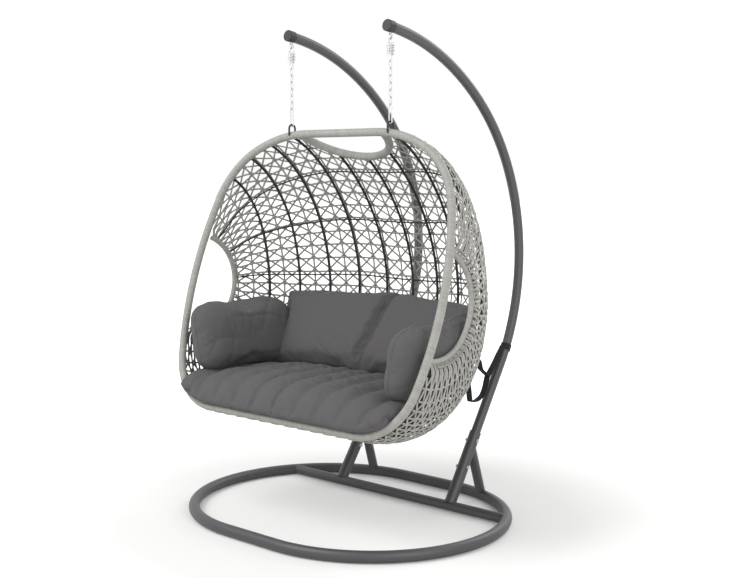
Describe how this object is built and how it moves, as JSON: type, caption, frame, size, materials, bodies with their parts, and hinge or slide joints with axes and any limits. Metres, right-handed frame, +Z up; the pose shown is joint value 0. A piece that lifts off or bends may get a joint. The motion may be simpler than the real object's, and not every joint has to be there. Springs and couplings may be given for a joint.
{
  "type": "hanging egg chair",
  "caption": "Freestanding hanging chair with a ring base, bent arms, chains with springs and a woven two-seat basket with loose cushions.",
  "frame": {"origin": "on the floor, at the centre of the base ring", "axes": "+Z up, the open front faces -Y, +X is to the right of someone who stands in front and looks at the chair"},
  "size_m": [1.3826, 1.3706, 1.9515],
  "materials": {
    "stand_paint": "satin charcoal powder coat",
    "black_plastic": "matte",
    "bright_zinc": "bright zinc plate",
    "black_webbing": "flat woven webbing",
    "black_paint": "satin black powder coat",
    "woven_strand": "light grey resin wicker",
    "cushion_cloth": "dark grey polyester cloth"
  },
  "bodies": {
    "stand": {"base_ring": "stand_paint", "cross_tube": "stand_paint", "post_left": "stand_paint", "post_right": "stand_paint", "brace_left": "stand_paint", "brace_right": "stand_paint", "arm_left": "stand_paint", "arm_right": "stand_paint", "end_caps": "black_plastic", "post_bolts": "bright_zinc", "post_nuts": "stand_paint", "eye_bolts": "bright_zinc", "eye_nuts": "bright_zinc", "strap_bands": "black_webbing", "strap_left": "black_webbing", "strap_right": "black_webbing"},
    "spring_top": {"spring_bars_upper": "bright_zinc", "spring_coil_left": "bright_zinc", "spring_coil_right": "bright_zinc"},
    "spring_low": {"spring_bars_lower": "bright_zinc"},
    "chain_left_body": {"chain_left": "bright_zinc"},
    "chain_right_body": {"chain_right": "bright_zinc"},
    "link_pair": {"end_links": "bright_zinc"},
    "basket": {"rim_tube_frame": "stand_paint", "rim_wrap": "woven_strand", "handle_tube": "stand_paint", "handle_wrap": "woven_strand", "hang_loops": "black_paint", "ribs": "black_paint", "hoops": "black_paint", "side_bars": "woven_strand", "woven_skin": "woven_strand", "seat_cushion": "cushion_cloth", "back_cushion": "cushion_cloth", "bolster_left": "cushion_cloth", "bolster_right": "cushion_cloth"}
  },
  "joints": [
    {"name": "swing", "type": "hinge", "parent": "stand", "child": "spring_top", "pos_m": [0, -0.04316, 1.8859], "axis": [1, 0, 0], "range_deg": [-7, 7], "deforming": ["strap_left", "strap_right"]},
    {"name": "spring_give", "type": "slide", "parent": "spring_top", "child": "spring_low", "axis": [0, 0, 1], "range_m": [-0.01, 0], "stiffness_N_per_m": 30000, "springref_m": 0.0217, "deforming": ["spring_coil_left", "spring_coil_right"]},
    {"name": "sway", "type": "hinge", "parent": "spring_low", "child": "chain_left_body", "pos_m": [-0.264, -0.04316, 1.7959], "axis": [0, 1, 0], "range_deg": [-10, 10]},
    {"name": "sway_right", "type": "hinge", "parent": "spring_low", "child": "chain_right_body", "pos_m": [0.264, -0.04316, 1.7959], "axis": [0, 1, 0], "range_deg": [-10, 10]},
    {"name": "level", "type": "hinge", "parent": "chain_left_body", "child": "link_pair", "pos_m": [-0.264, -0.04316, 1.6354], "axis": [0, 1, 0], "range_deg": [-10, 10]},
    {"name": "tilt", "type": "hinge", "parent": "link_pair", "child": "basket", "pos_m": [0, -0.04316, 1.56686], "axis": [1, 0, 0], "range_deg": [-6, 6]}
  ],
  "couplings": [
    {"joint": "sway_right", "follows": "sway", "ratio": 1},
    {"joint": "level", "follows": "sway", "ratio": -1}
  ]
}
